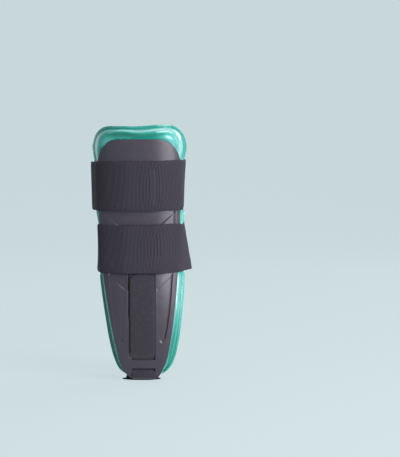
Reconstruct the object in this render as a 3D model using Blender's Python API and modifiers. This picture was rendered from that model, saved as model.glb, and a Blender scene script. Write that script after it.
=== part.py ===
"""Ankle stirrup orthosis: two moulded side shells with gel pads, joined under the heel by
webbing and held round the leg by two elastic bands. Toes point to +X, lateral is -Y, Z is up.
"""

import math

import bmesh
import bpy
from mathutils import Vector

MM = 0.001
LATERAL, MEDIAL = -1, 1
GAP = 0.3

# Driving dimensions, in millimetres.
SHELL_THICK = 2.4
SHELL_BOTTOM, SHELL_TOP = 4.0, 243.2
SECTION_CENTRE, SECTION_HALF, SECTION_POWER = -2.3, 52.0, 2.7
PAD_BOTTOM, PAD_TOP = 7.0, 257.6
FILM_THICK, GEL_THICK = 0.6, 8.0
BAND_THICK, PATCH_THICK = 1.5, 0.8
WEB_WIDTH, WEB_THICK = 22.6, 1.4
STRAP_CENTRE = 1.5
TAB_HALF, TAB_THICK = 12.8, 1.5
TAB_BOTTOM, TAB_TOP = 30.0, 113.0
BAND_OVER_TAB = 3 * GAP + PATCH_THICK + TAB_THICK
BAND_AT_EDGE = 1.0
SLOT_WIDTH = 24.4
WINDOW, BAR_TOP, SLOT_TOP = (7.4, 12.9), 20.7, 27.0
RIM_RECESS = 1.2
HEEL_HALF_LENGTH, HEEL_HALF_WIDTH = 32.0, 20.0
HEEL_CENTRE = -1.2
SOLE_THICK, CUSHION_THICK = 1.2, 2.0
PIVOT_DEPTH, PIVOT_Z = 34.0, 2.2
POCKET_DEPTH = 0.9

# Moves everything forward, so that the heel pad stands over the origin.
FRAME_SHIFT = 1.275

# Height, then value. Depths are from the mid plane to the shell's outer face.
# Up to ARC_TOP the shell's upright middle line is an arc, so that the heel strap's tab can slide along it.
ARC_RADIUS, ARC_HEIGHT, ARC_DEPTH, ARC_TOP = 270.0, 92.0, 50.9, 125.0
DEPTH = [(125, 48.88), (132, 48.25), (150, 48.0), (175, 49.4), (210, 52.6), (241, 56.2), (262, 58.4)]
SHELL_REAR = [(4, -13.5), (8.5, -17.0), (19, -22.4), (38, -26.8), (62, -31.6), (106, -38.4), (157, -41.6),
              (190, -43.2), (243.2, -44.2)]
SHELL_FRONT = [(4, 17.0), (8.5, 19.4), (19, 24.2), (38, 28.4), (62, 31.8), (106, 35.9), (157, 38.2),
               (190, 38.8), (243.2, 39.0)]
PAD_REAR = [(7, -19.5), (19, -26.2), (38, -30.8), (62, -34.5), (106, -41.4), (130, -42.6), (157, -43.4),
            (172, -44.4), (200, -44.6), (218, -45.4), (232, -48.6), (258, -49.6)]
PAD_FRONT = [(7, 24.0), (19, 31.4), (38, 36.6), (62, 39.6), (106, 41.6), (130, 40.6), (157, 41.0),
             (172, 39.6), (200, 39.6), (218, 40.6), (232, 43.6), (258, 44.6)]
SHELL_CORNER, PAD_CORNER, PAD_FOOT = 24.0, 21.0, 12.0
SLOPE_STEP = 0.5

# Band name: bottom, top, then the apex of the loop's inner face behind and in front of the leg.
BANDS = {
    "upper": {"z": (172.8, 221.6), "rear": [(171, -49.8), (221, -51.4)], "front": [(171, 40.2), (221, 42.6)]},
    "lower": {"z": (110.4, 157.6), "rear": [(109, -46.0), (158, -45.3)], "front": [(109, 49.6), (158, 41.6)]},
}
FLANK_HINGE, FLANK_TIP, FLANK_UNDER = 0.26, 0.80, 0.42
FLANK_SHARE, FLANK_TURN = 0.62, 0.75
FLANK_BACK = 0.45

COLOURS = {
    "shell_plastic": (0.075, 0.070, 0.082, 0.42), "gel": (0.03, 0.52, 0.44, 0.12),
    "film": (0.12, 0.62, 0.54, 0.10), "elastic": (0.050, 0.048, 0.056, 0.85),
    "webbing": (0.045, 0.042, 0.050, 0.90), "hook": (0.030, 0.030, 0.034, 0.80),
    "heel_cover": (0.035, 0.034, 0.040, 0.88),
}


def place_in_frame(x, y, z):
    """Millimetres about the strap line, to metres about the centre of the whole part."""
    return Vector((x + FRAME_SHIFT, y, z)) * MM


def clear_scene():
    for obj in list(bpy.data.objects):
        bpy.data.objects.remove(obj)


def collection(name):
    made = bpy.data.collections.new(name)
    bpy.context.scene.collection.children.link(made)
    return made


def smooth(table, z):
    """A smooth curve through a table of (height, value), level beyond its ends."""
    if z <= table[0][0]:
        return table[0][1]
    if z >= table[-1][0]:
        return table[-1][1]
    last = len(table) - 1
    i = next(k for k in range(last) if z <= table[k + 1][0])

    def slope(k):
        low, high = table[max(k - 1, 0)], table[min(k + 1, last)]
        return (high[1] - low[1]) / (high[0] - low[0])

    (z0, v0), (z1, v1) = table[i], table[i + 1]
    span = z1 - z0
    t = (z - z0) / span
    return ((2 * t**3 - 3 * t**2 + 1) * v0 + (t**3 - 2 * t**2 + t) * span * slope(i)
            + (3 * t**2 - 2 * t**3) * v1 + (t**3 - t**2) * span * slope(i + 1))


def straight(table, z):
    (z0, v0), (z1, v1) = table
    return v0 + (v1 - v0) * (z - z0) / (z1 - z0)


def middle_depth(z):
    if z > ARC_TOP:
        return smooth(DEPTH, z)
    return ARC_DEPTH - ARC_RADIUS + math.sqrt(ARC_RADIUS**2 - (z - ARC_HEIGHT) ** 2)


def depth_at(x, z):
    """How far the shell's outer face is from the mid plane."""
    ratio = min(abs(x - SECTION_CENTRE) / SECTION_HALF, 0.985)
    return middle_depth(z) * (1 - ratio**SECTION_POWER) ** (1 / SECTION_POWER)


def band_offset(x):
    """A band's inner face lies close to the shell's edges and rises over the strap in the middle."""
    away = min(max((abs(x - STRAP_CENTRE) - 15.0) / 16.0, 0.0), 1.0)
    ease = away * away * (3 - 2 * away)
    return BAND_OVER_TAB + (BAND_AT_EDGE - BAND_OVER_TAB) * ease


def face_normal(x, z):
    """Outward normal of the shell's outer face as (x, depth, z)."""
    across = (depth_at(x + SLOPE_STEP, z) - depth_at(x - SLOPE_STEP, z)) / (2 * SLOPE_STEP)
    up = (depth_at(x, z + SLOPE_STEP) - depth_at(x, z - SLOPE_STEP)) / (2 * SLOPE_STEP)
    return Vector((-across, 1.0, -up)).normalized()


def on_face(x, z, offset):
    """The point (x, depth, z) at a distance outside the shell's outer face."""
    return Vector((x, depth_at(x, z), z)) + face_normal(x, z) * offset


def corner(z, end, radius, inward):
    """How far a rounded corner pulls an edge in, near the height where the outline ends."""
    reach = (end - z) * inward
    if reach >= radius:
        return 0.0
    return radius - math.sqrt(max(radius**2 - (radius - reach) ** 2, 0.0))


def shell_edges(z):
    inset = corner(z, SHELL_TOP, SHELL_CORNER, 1)
    return smooth(SHELL_REAR, z) + inset * 0.9, smooth(SHELL_FRONT, z) - inset * 0.9


def pad_edges(z):
    inset = corner(z, PAD_TOP, PAD_CORNER, 1) + corner(z, PAD_BOTTOM, PAD_FOOT, -1)
    return smooth(PAD_REAR, z) + inset * 0.9, smooth(PAD_FRONT, z) - inset * 0.9


def rows_between(low, high, count, round_low=0.0, round_high=0.0):
    """Heights from low to high, closer together where the outline has round corners."""
    rows = []
    quarter = math.pi / 2
    steps = 3
    if round_low:
        rows += [low + round_low * (1 - math.cos(quarter * i / steps)) for i in range(steps)]
    start, stop = low + round_low, high - round_high
    rows += [start + (stop - start) * i / count for i in range(count + 1)]
    if round_high:
        rows += [high - round_high * (1 - math.cos(quarter * i / steps)) for i in reversed(range(steps))]
    return rows


def link(obj, group, slot):
    group.objects.link(obj)
    obj.data.materials.append(material(slot))
    return obj


def material(slot):
    found = bpy.data.materials.get(slot)
    if found:
        return found
    red, green, blue, rough = COLOURS[slot]
    made = bpy.data.materials.new(slot)
    made.use_nodes = True
    shader = made.node_tree.nodes["Principled BSDF"]
    shader.inputs["Base Color"].default_value = (red, green, blue, 1.0)
    shader.inputs["Roughness"].default_value = rough
    shader.inputs["Metallic"].default_value = 0.0
    made.diffuse_color = (red, green, blue, 1.0)
    return made


def open_sheet(name, side, columns, rows, place):
    """An open surface whose point (column, row) is place(column, row), facing away from the leg."""
    mesh = bpy.data.meshes.new(name)
    form = bmesh.new()
    bmesh.ops.create_grid(form, x_segments=len(columns) - 1, y_segments=len(rows) - 1, size=0.5)
    for vert in form.verts:
        i = round((vert.co.x + 0.5) * (len(columns) - 1))
        j = round((vert.co.y + 0.5) * (len(rows) - 1))
        x, depth, z = place(columns[i], rows[j])
        vert.co = place_in_frame(x, side * depth, z)
    if side == MEDIAL:
        bmesh.ops.reverse_faces(form, faces=form.faces)
    form.normal_update()
    form.to_mesh(mesh)
    form.free()
    return bpy.data.objects.new(name, mesh)


def thicken(obj, thick, outward):
    solid = obj.modifiers.new("thickness", "SOLIDIFY")
    solid.thickness = thick * MM
    solid.offset = 1.0 if outward else -1.0
    solid.use_even_offset = True
    return obj


def even(low, high, count):
    return [low + (high - low) * i / count for i in range(count + 1)]


def face_sheet(name, side, edges, rows, columns, offset):
    """A sheet lying at an offset from the shell's outer face, between two edges of the outline."""

    def place(share, z):
        rear, front = edges(z)
        return on_face(rear + (front - rear) * share, z, offset)

    return open_sheet(name, side, even(0, 1, columns), rows, place)


def cutter(obj, group):
    group.objects.link(obj)
    obj.hide_render = True
    obj.display_type = "WIRE"
    return obj


def box_cutter(name, side, x_range, depth_range, z_range, group):
    mesh = bpy.data.meshes.new(name)
    form = bmesh.new()
    bmesh.ops.create_cube(form, size=1.0)
    low = Vector((x_range[0], depth_range[0], z_range[0]))
    high = Vector((x_range[1], depth_range[1], z_range[1]))
    for vert in form.verts:
        share = vert.co + Vector((0.5, 0.5, 0.5))
        x, depth, z = (low[k] + (high[k] - low[k]) * share[k] for k in range(3))
        vert.co = place_in_frame(x, side * depth, z)
    bmesh.ops.recalc_face_normals(form, faces=form.faces)
    form.to_mesh(mesh)
    form.free()
    return cutter(bpy.data.objects.new(name, mesh), group)


def cut(obj, tool):
    step = obj.modifiers.new(tool.name, "BOOLEAN")
    step.operation = "DIFFERENCE"
    step.object = tool


def side_word(side):
    return "lateral" if side == LATERAL else "medial"


POCKETS = {
    "lower": {"z": (39.5, 106.0), "turn": 92.5, "inner": 15.6, "centre": -0.5,
              "outer": [(39.5, 19.0), (43, 22.0), (61, 25.2), (81, 27.6), (106, 29.4)]},
    "upper": {"z": (116.0, 170.0), "turn": 156.5, "inner": 16.6, "centre": -2.4,
              "outer": [(116, 24.0), (120, 28.0), (140, 31.0), (170, 33.2)]},
}


def pocket_edges(pocket, mirror):
    """The long recess beside the strap: upright inner wall, slanted top, outer wall along the rim."""

    def edges(z):
        outer = smooth(pocket["outer"], z)
        rise = max(0.0, z - pocket["turn"]) / (pocket["z"][1] - pocket["turn"])
        inner = pocket["inner"] + (outer - 2.0 - pocket["inner"]) * rise
        if mirror:
            return 2 * pocket["centre"] - outer, 2 * pocket["centre"] - inner
        return inner, outer

    return edges


def make_shell(side, parts, tools):
    name = side_word(side)
    rows = rows_between(SHELL_BOTTOM, SHELL_TOP, 15, 0.0, SHELL_CORNER)
    shell = face_sheet(f"{name}_shell", side, shell_edges, rows, 12, 0.0)
    link(thicken(shell, SHELL_THICK, False), parts, "shell_plastic")
    slot_x = (STRAP_CENTRE - SLOT_WIDTH / 2, STRAP_CENTRE + SLOT_WIDTH / 2)
    window_x = (slot_x[0] + 0.15, slot_x[1] - 0.15)
    recess_x = (slot_x[0] + 0.35, slot_x[1] - 0.35)
    recess_rows = even(SHELL_BOTTOM - 2, WINDOW[0] + 0.6, 3)
    cut(shell, box_cutter(f"{name}_slot_tool", side, slot_x, (30, 60), (BAR_TOP, SLOT_TOP), tools))
    cut(shell, box_cutter(f"{name}_window_tool", side, window_x, (25, 55), WINDOW, tools))
    recess = face_sheet(f"{name}_recess_tool", side, lambda z: recess_x, recess_rows, 4, -RIM_RECESS)
    cut(shell, cutter(thicken(recess, 8, True), tools))
    for level, pocket in POCKETS.items():
        for mirror in (False, True):
            low, high = pocket["z"]
            rows = even(low, pocket["turn"], 4) + even(pocket["turn"], high, 2)[1:]
            tool = face_sheet(f"{name}_{level}_pocket_tool_{int(mirror)}", side,
                              pocket_edges(pocket, mirror), rows, 3, -POCKET_DEPTH)
            cut(shell, cutter(thicken(tool, 6, True), tools))
    return shell


def puff(share, z):
    """How full the gel cell is at a place on the pad, 0 at the welded seam and 1 over most of it."""
    across = 1 - abs(2 * share - 1) ** 4
    along = min((z - PAD_BOTTOM) / 22.0, (PAD_TOP - z) / 16.0, 1.0)
    return across * math.sin(max(along, 0.0) * math.pi / 2)


BACK_OFFSET = -4.7
PAD_SHARES = [0.0, 0.04, 0.12, 0.24, 0.41, 0.59, 0.76, 0.88, 0.96, 1.0]
GEL_OUTER = BACK_OFFSET - FILM_THICK - 1.5 * GAP
GEL_EDGE = 0.5


def gel_inner(share, z):
    return GEL_OUTER - GEL_EDGE - puff(share, z) * (GEL_THICK - GEL_EDGE)


def pad_point(share, z, offset):
    """A point of the pad: the offset is square to the shell's face, but taken straight inward."""
    rear, front = pad_edges(z)
    x = rear + (front - rear) * share
    return Vector((x, depth_at(x, z) + offset / face_normal(x, z).y, z))


def make_pad(side, parts):
    """A back film, the gel, and a front film that bulges toward the leg."""
    name = side_word(side)
    rows = rows_between(PAD_BOTTOM, PAD_TOP, 11, PAD_FOOT, PAD_CORNER)
    back = open_sheet(f"{name}_pad_back_film", side, PAD_SHARES, rows,
                      lambda share, z: pad_point(share, z, BACK_OFFSET))
    link(thicken(back, FILM_THICK, False), parts, "film")

    def front_place(share, z):
        rim = share in (0.0, 1.0) or z in (rows[0], rows[-1])
        offset = GEL_OUTER if rim else gel_inner(share, z) - GAP
        return pad_point(share, z, offset)

    front = open_sheet(f"{name}_pad_front_film", side, PAD_SHARES, rows, front_place)
    link(thicken(front, FILM_THICK, False), parts, "film")
    make_gel(f"{name}_pad_gel", side, PAD_SHARES[1:-1], rows[1:-1], parts)


def make_gel(name, side, shares, rows, parts):
    """The gel: its outer face follows the shell, its inner face swells toward the leg."""
    outer = open_sheet(name, side, shares, rows, lambda share, z: pad_point(share, z, GEL_OUTER))
    form = bmesh.new()
    form.from_mesh(outer.data)
    form.verts.ensure_lookup_table()
    places = {}
    for z in rows:
        for share in shares:
            x, depth, height = pad_point(share, z, GEL_OUTER)
            near = place_in_frame(x, side * depth, height)
            x, depth, height = pad_point(share, z, gel_inner(share, z))
            places[tuple(round(c, 6) for c in near)] = place_in_frame(x, side * depth, height)
    made = bmesh.ops.extrude_face_region(form, geom=form.faces[:])
    for vert in (v for v in made["geom"] if isinstance(v, bmesh.types.BMVert)):
        vert.co = places[tuple(round(c, 6) for c in vert.co)]
    bmesh.ops.recalc_face_normals(form, faces=form.faces)
    if form.calc_volume(signed=True) < 0:
        bmesh.ops.reverse_faces(form, faces=form.faces)
    form.to_mesh(outer.data)
    form.free()
    return link(outer, parts, "gel")


def make_patch(name, side, x_range, z_range, offset, thick, parts, corner_size=4.0):
    def edges(z):
        pull = corner(z, z_range[1], corner_size, 1) + corner(z, z_range[0], corner_size, -1)
        return x_range[0] + pull, x_range[1] - pull

    rows = rows_between(*z_range, 4, corner_size, corner_size)
    patch = face_sheet(name, side, edges, rows, 6, offset)
    return link(thicken(patch, thick, True), parts, "hook")


def flank(band, front, q, z, inward=0.0):
    """A point (x, depth) of a band's inner face: q 0 at the shell's edge, q 1 at the loop's apex."""
    rear_edge, front_edge = smooth(SHELL_REAR, z), smooth(SHELL_FRONT, z)
    x = front_edge if front else rear_edge
    sign = 1 if front else -1
    start = on_face(x, z, BAND_AT_EDGE)
    normal = face_normal(x, z)
    along = Vector((sign * normal.y, -abs(normal.x))).normalized()
    apex = straight(BANDS[band]["front" if front else "rear"], z)
    end = Vector((apex, 0.0))
    begin = Vector((start.x, start.y))
    reach = (end - begin).length
    t0, t1 = along * reach * FLANK_SHARE, Vector((0.0, -reach * FLANK_TURN))

    def at(t):
        return ((2 * t**3 - 3 * t**2 + 1) * begin + (t**3 - 2 * t**2 + t) * t0
                + (3 * t**2 - 2 * t**3) * end + (t**3 - t**2) * t1)

    point = at(q)
    if inward:
        ahead = at(min(q + 0.02, 1.0)) - at(max(q - 0.02, 0.0))
        outward = Vector((-ahead.y, ahead.x)) * sign
        point -= outward.normalized() * inward
    return point


def flank_station(band, front, q, side, inward=0.0):
    def at(z):
        point = flank(band, front, q, z, inward)
        return point.x, side * point.y

    return at


def shell_station(share, side):
    def at(z):
        rear, front = smooth(SHELL_REAR, z), smooth(SHELL_FRONT, z)
        x = rear + (front - rear) * share
        point = on_face(x, z, band_offset(x))
        return point.x, side * point.y

    return at


def band_solid(name, facing, tracks, z_range, slot, thick, parts, rows=3):
    """A strip with the stations of tracks, thickened away from the leg."""
    heights = even(z_range[0], z_range[1], rows)

    def place(station, z):
        x, y = tracks[station](z)
        return Vector((x, y, z))

    made = open_sheet(name, MEDIAL, list(range(len(tracks))), heights, place)
    if facing < 0:
        made.data.flip_normals()
    return link(thicken(made, thick, True), parts, slot)


UNDERLAP = 2 * GAP + PATCH_THICK + BAND_THICK


def make_bands(parts):
    """Each band: a lateral half with a closure tab at both ends, over a medial half."""
    for band, spec in BANDS.items():
        across = [shell_station(share, -1) for share in even(0, 1, 12)]
        rear = [flank_station(band, False, q, -1) for q in (FLANK_HINGE - 0.02, 0.16, 0.08)]
        front = [flank_station(band, True, q, -1) for q in (0.08, 0.16, FLANK_HINGE - 0.02)]
        band_solid(f"{band}_band_lateral", -1, rear + across + front, spec["z"], "elastic",
                   BAND_THICK, parts)
        for word, is_front in (("front", True), ("rear", False)):
            facing = -1 if is_front else 1
            tab_q = even(FLANK_HINGE + 0.01, FLANK_TIP, 6)
            tab = [flank_station(band, is_front, q, -1) for q in tab_q]
            band_solid(f"{band}_{word}_tab", facing, tab, spec["z"], "elastic", BAND_THICK, parts)
            hook_q = even(FLANK_UNDER + 0.02, FLANK_TIP - 0.02, 4)
            inset = GAP + PATCH_THICK
            hook = [flank_station(band, is_front, q, -1, inset) for q in hook_q]
            low, high = spec["z"]
            band_solid(f"{band}_{word}_hook", facing, hook, (low + 4, high - 4), "hook",
                       PATCH_THICK, parts, rows=2)
        make_medial_band(band, spec, parts)


def make_medial_band(band, spec, parts):
    """The medial half, whose ends pass the apexes and run on under the lateral half's tabs."""

    def run(is_front):
        under = [flank_station(band, is_front, q, -1, UNDERLAP)
                 for q in even(FLANK_UNDER, 1.0, 6)[:-1]]
        near = []
        for q in reversed(even(FLANK_BACK, 1.0, 6)):
            shift = UNDERLAP * (0.5 - 0.5 * math.cos(math.pi * (q - FLANK_BACK) / (1 - FLANK_BACK)))
            near.append(flank_station(band, is_front, q, 1, shift))
        near += [flank_station(band, is_front, q, 1) for q in (0.3, 0.16, 0.08)]
        return under + near

    across = [shell_station(share, 1) for share in even(0, 1, 12)]
    tracks = run(False) + across + list(reversed(run(True)))
    band_solid(f"{band}_band_medial", 1, tracks, spec["z"], "elastic", BAND_THICK, parts)


def ribbon(name, side, line, width, thick, centre, parts, slot, columns=1):
    """Webbing: its middle line is a list of (depth, z). Across its width it follows the shell's curve."""

    def place(x, index):
        depth, z = line[index]
        share = min(max((z - 3.0) / 4.0, 0.0), 1.0)
        return Vector((x, depth + share * (depth_at(x, z) - depth_at(centre, z)), z))

    across = even(centre - width / 2, centre + width / 2, columns)
    made = open_sheet(name, side, across, list(range(len(line))), place)
    solid = thicken(made, thick, True).modifiers["thickness"]
    solid.offset = 0.0
    return link(made, parts, slot)


def bezier(points, count):
    """Points of one cubic curve."""
    made = []
    for i in range(count + 1):
        t = i / count
        weights = ((1 - t) ** 3, 3 * t * (1 - t) ** 2, 3 * t**2 * (1 - t), t**3)
        made.append(tuple(sum(w * p[k] for w, p in zip(weights, points)) for k in (0, 1)))
    return made


def web_line():
    """The webbing's way up: round the rim, in at the window, behind the bar and out at the slot."""
    half = WEB_THICK / 2
    outside = -RIM_RECESS + GAP + half
    behind = -SHELL_THICK - 0.65 - half
    over = 2 * GAP + PATCH_THICK + TAB_THICK / 2

    def beside(z, offset):
        return depth_at(STRAP_CENTRE, z) + offset, z

    foot = (PIVOT_DEPTH - 0.1, PIVOT_Z)
    line = bezier([foot, (PIVOT_DEPTH + 1.4, PIVOT_Z), beside(4.4, outside), beside(6.6, outside)], 4)
    line += bezier([beside(6.6, outside), beside(9.6, outside), beside(10.3, behind),
                    beside(13.6, behind)], 8)[1:]
    line += [beside(17.0, behind)]
    line += bezier([beside(20.0, behind), beside(23.6, behind), beside(24.2, over),
                    beside(TAB_BOTTOM - 0.8, over)], 8)
    return line


def make_heel_strap(side, parts):
    name = side_word(side)
    ribbon(f"{name}_heel_webbing", side, web_line(), WEB_WIDTH, WEB_THICK, STRAP_CENTRE, parts,
           "webbing", 6)

    def tab_edges(z):
        pull = corner(z, TAB_TOP, 8.0, 1) + corner(z, TAB_BOTTOM, 2.0, -1)
        centre = STRAP_CENTRE - 1.2
        return centre - TAB_HALF + pull, centre + TAB_HALF - pull

    rows = rows_between(TAB_BOTTOM, TAB_TOP, 8, 0.0, 8.0)
    tab = face_sheet(f"{name}_heel_tab", side, tab_edges, rows, 6, 2 * GAP + PATCH_THICK)
    link(thicken(tab, TAB_THICK, True), parts, "webbing")
    make_patch(f"{name}_heel_loop_patch", side, (STRAP_CENTRE - 11.5, STRAP_CENTRE + 9.1),
               (38.0, 106.0), GAP, PATCH_THICK, parts)


def make_patches(side, parts):
    """The hook patches that hold the bands outside the shell and the pad inside it."""
    name = side_word(side)
    anchor = BAND_OVER_TAB - 2 * GAP
    anchor_x = (STRAP_CENTRE - 14.0, STRAP_CENTRE + 14.0)
    for band, z_range in (("upper", (179.0, 215.0)), ("lower", (127.0, 152.0))):
        make_patch(f"{name}_{band}_anchor", side, anchor_x, z_range, GAP, anchor, parts)
    pad_patch = 1.3
    for word, z_range in (("upper", (150.0, 222.0)), ("lower", (40.0, 100.0))):
        offset = -SHELL_THICK - GAP - pad_patch
        make_patch(f"{name}_pad_hook_{word}", side, (-12.0, 10.0), z_range, offset, pad_patch, parts)


def slab(name, z_range, half_x, half_y, parts, slot, round_end):
    """A flat rounded pad under the heel."""
    mesh = bpy.data.meshes.new(name)
    form = bmesh.new()
    bmesh.ops.create_cube(form, size=1.0)
    size = Vector((2 * half_x, 2 * half_y, z_range[1] - z_range[0]))
    middle = Vector((HEEL_CENTRE, 0, (z_range[0] + z_range[1]) / 2))
    for vert in form.verts:
        vert.co = place_in_frame(*(Vector(v * s for v, s in zip(vert.co, size)) + middle))
    upright = [e for e in form.edges if abs(e.verts[0].co.z - e.verts[1].co.z) > 0.1 * MM]
    bmesh.ops.bevel(form, geom=upright, offset=round_end * MM, segments=5, affect="EDGES", profile=0.5)
    form.to_mesh(mesh)
    form.free()
    return link(bpy.data.objects.new(name, mesh), parts, slot)


def make_heel(parts):
    """The heel pad: a sole layer, the webbing, and a cushion over it."""
    slab("heel_sole", (0.0, SOLE_THICK), HEEL_HALF_WIDTH, HEEL_HALF_LENGTH, parts, "heel_cover", 7.0)
    web_low = PIVOT_Z - WEB_THICK / 2
    line = [(-PIVOT_DEPTH + 1.2, PIVOT_Z), (0.0, PIVOT_Z), (PIVOT_DEPTH - 1.2, PIVOT_Z)]
    ribbon("heel_webbing_underfoot", MEDIAL, line, WEB_WIDTH, WEB_THICK, STRAP_CENTRE, parts, "webbing")
    cushion_low = web_low + WEB_THICK + GAP
    slab("heel_cushion", (cushion_low, cushion_low + CUSHION_THICK), HEEL_HALF_WIDTH,
         HEEL_HALF_LENGTH - 1.5, parts, "heel_cover", 7.0)


def main():
    clear_scene()
    parts = collection("ankle_foot_orthosis")
    tools = collection("cutters")
    make_heel(parts)
    make_bands(parts)
    for side in (LATERAL, MEDIAL):
        make_shell(side, parts, tools)
        make_pad(side, parts)
        make_patches(side, parts)
        make_heel_strap(side, parts)


main()
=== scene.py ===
"""Ankle stirrup orthosis, visual model. Lengths are in millimetres until a mesh is made.
Toes point to +X, the lateral side is -Y, and Z is up.
"""

import math

import bpy
import numpy as np
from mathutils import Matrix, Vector


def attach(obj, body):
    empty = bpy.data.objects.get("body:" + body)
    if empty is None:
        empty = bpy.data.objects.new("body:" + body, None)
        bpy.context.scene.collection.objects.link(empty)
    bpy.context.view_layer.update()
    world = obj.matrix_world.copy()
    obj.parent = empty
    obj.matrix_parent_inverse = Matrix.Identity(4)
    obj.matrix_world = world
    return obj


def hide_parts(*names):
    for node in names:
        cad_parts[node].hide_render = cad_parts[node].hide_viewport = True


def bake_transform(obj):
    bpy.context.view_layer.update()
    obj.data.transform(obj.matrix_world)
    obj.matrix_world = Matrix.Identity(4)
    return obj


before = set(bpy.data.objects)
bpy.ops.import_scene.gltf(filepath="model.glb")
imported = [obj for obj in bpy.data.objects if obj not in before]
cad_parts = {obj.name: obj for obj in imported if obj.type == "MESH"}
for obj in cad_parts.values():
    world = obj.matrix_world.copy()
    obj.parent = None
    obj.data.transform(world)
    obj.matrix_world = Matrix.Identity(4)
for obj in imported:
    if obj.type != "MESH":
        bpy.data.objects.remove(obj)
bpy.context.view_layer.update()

MM = 0.001
LATERAL, MEDIAL = -1, 1
WORD = {LATERAL: "lateral", MEDIAL: "medial"}
FRAME_SHIFT = 1.275

SECTION_CENTRE, SECTION_HALF, SECTION_POWER = -2.3, 52.0, 2.7
ARC_RADIUS, ARC_HEIGHT, ARC_DEPTH, ARC_TOP = 270.0, 92.0, 50.9, 125.0
DEPTH = [(125, 48.88), (132, 48.25), (150, 48.0), (175, 49.4), (210, 52.6), (241, 56.2), (262, 58.4)]
SHELL_REAR = [(3, -11.0), (8.5, -16.6), (19, -22.0), (38, -26.3), (62, -31.1), (106, -38.2), (157, -42.2),
              (190, -43.5), (243.2, -44.3)]
SHELL_FRONT = [(3, 15.6), (8.5, 19.0), (19, 23.9), (38, 28.1), (62, 31.7), (106, 35.8), (157, 38.2),
               (190, 38.6), (243.2, 39.0)]
SHELL_BOTTOM, SHELL_TOP, SHELL_CORNER, SHELL_THICK = 3.4, 243.2, 24.0, 2.4
PAD_REAR = [(4.5, -15.5), (9, -20.6), (19, -26.4), (38, -31.8), (62, -36.0), (105, -42.0), (112, -41.3),
            (130, -41.0), (150, -41.8), (157, -43.0), (165, -44.8), (172, -45.8), (200, -45.8), (218, -47.2),
            (232, -49.6), (258, -50.2)]
PAD_FRONT = [(4.5, 20.5), (9, 24.5), (19, 31.2), (38, 36.2), (62, 39.4), (105, 42.2), (112, 41.0),
             (130, 40.0), (150, 39.3), (156.5, 39.9), (161, 41.6), (169, 41.8), (173.5, 39.7), (180, 39.4),
             (200, 39.9), (218, 40.8), (224, 41.6), (232, 43.6), (258, 44.4)]
PAD_BOTTOM, PAD_TOP, PAD_CORNER, PAD_FOOT = 4.8, 257.6, 21.0, 9.0
STRAP_CENTRE = 1.5


# Surfaces


def smooth(table, z):
    """A smooth curve through a table of (height, value), level beyond its ends."""
    zs = np.array([p[0] for p in table], float)
    vs = np.array([p[1] for p in table], float)
    last = len(zs) - 1
    low, high = np.maximum(np.arange(last + 1) - 1, 0), np.minimum(np.arange(last + 1) + 1, last)
    slopes = (vs[high] - vs[low]) / (zs[high] - zs[low])
    z = np.clip(np.asarray(z, float), zs[0], zs[-1])
    i = np.clip(np.searchsorted(zs, z, side="left") - 1, 0, last - 1)
    span = zs[i + 1] - zs[i]
    t = (z - zs[i]) / span
    return ((2 * t**3 - 3 * t**2 + 1) * vs[i] + (t**3 - 2 * t**2 + t) * span * slopes[i]
            + (3 * t**2 - 2 * t**3) * vs[i + 1] + (t**3 - t**2) * span * slopes[i + 1])


def ease(low, high, value):
    t = np.clip((np.asarray(value, float) - low) / (high - low), 0.0, 1.0)
    return t * t * (3 - 2 * t)


def middle_depth(z):
    z = np.asarray(z, float)
    arc = ARC_DEPTH - ARC_RADIUS + np.sqrt(ARC_RADIUS**2 - (np.minimum(z, ARC_TOP) - ARC_HEIGHT) ** 2)
    return np.where(z > ARC_TOP, smooth(DEPTH, z), arc)


def depth_at(x, z):
    """How far the shell's outer face is from the mid plane."""
    ratio = np.minimum(np.abs(np.asarray(x, float) - SECTION_CENTRE) / SECTION_HALF, 0.985)
    return middle_depth(z) * (1 - ratio**SECTION_POWER) ** (1 / SECTION_POWER)


def face_normal(x, z, step=0.5):
    across = (depth_at(x + step, z) - depth_at(x - step, z)) / (2 * step)
    up = (depth_at(x, z + step) - depth_at(x, z - step)) / (2 * step)
    normal = np.stack([-across, np.ones_like(across), -up], -1)
    return normal / np.linalg.norm(normal, axis=-1, keepdims=True)


def on_face(x, z, offset):
    """Points (x, depth, z) at a distance outside the shell's outer face."""
    x, z = np.broadcast_arrays(np.asarray(x, float), np.asarray(z, float))
    base = np.stack([x, depth_at(x, z), z], -1)
    return base + face_normal(x, z) * np.asarray(offset, float)[..., None]


def straight_in(x, z, offset):
    """The same distance from the face, but taken along the depth, so that x and z stay."""
    x, z = np.broadcast_arrays(np.asarray(x, float), np.asarray(z, float))
    return np.stack([x, depth_at(x, z) + offset / face_normal(x, z)[..., 1], z], -1)


def corner(z, end, radius, inward):
    reach = np.clip((end - z) * inward, 0.0, radius)
    return radius - np.sqrt(np.maximum(radius**2 - (radius - reach) ** 2, 0.0))


def polygon_distance(x, z, points):
    """Signed distance to a polygon, negative inside."""
    x, z = np.broadcast_arrays(np.asarray(x, float), np.asarray(z, float))
    best = np.full(x.shape, 1e9)
    inside = np.zeros(x.shape, bool)
    count = len(points)
    for k in range(count):
        (ax, az), (bx, bz) = points[k], points[(k + 1) % count]
        dx, dz = bx - ax, bz - az
        t = np.clip(((x - ax) * dx + (z - az) * dz) / (dx * dx + dz * dz + 1e-12), 0, 1)
        best = np.minimum(best, np.hypot(x - ax - t * dx, z - az - t * dz))
        if az != bz:
            crossing = ((az > z) != (bz > z)) & (x < (bx - ax) * (z - az) / (bz - az) + ax)
            inside ^= crossing
    return np.where(inside, -best, best)


# Meshes


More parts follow.
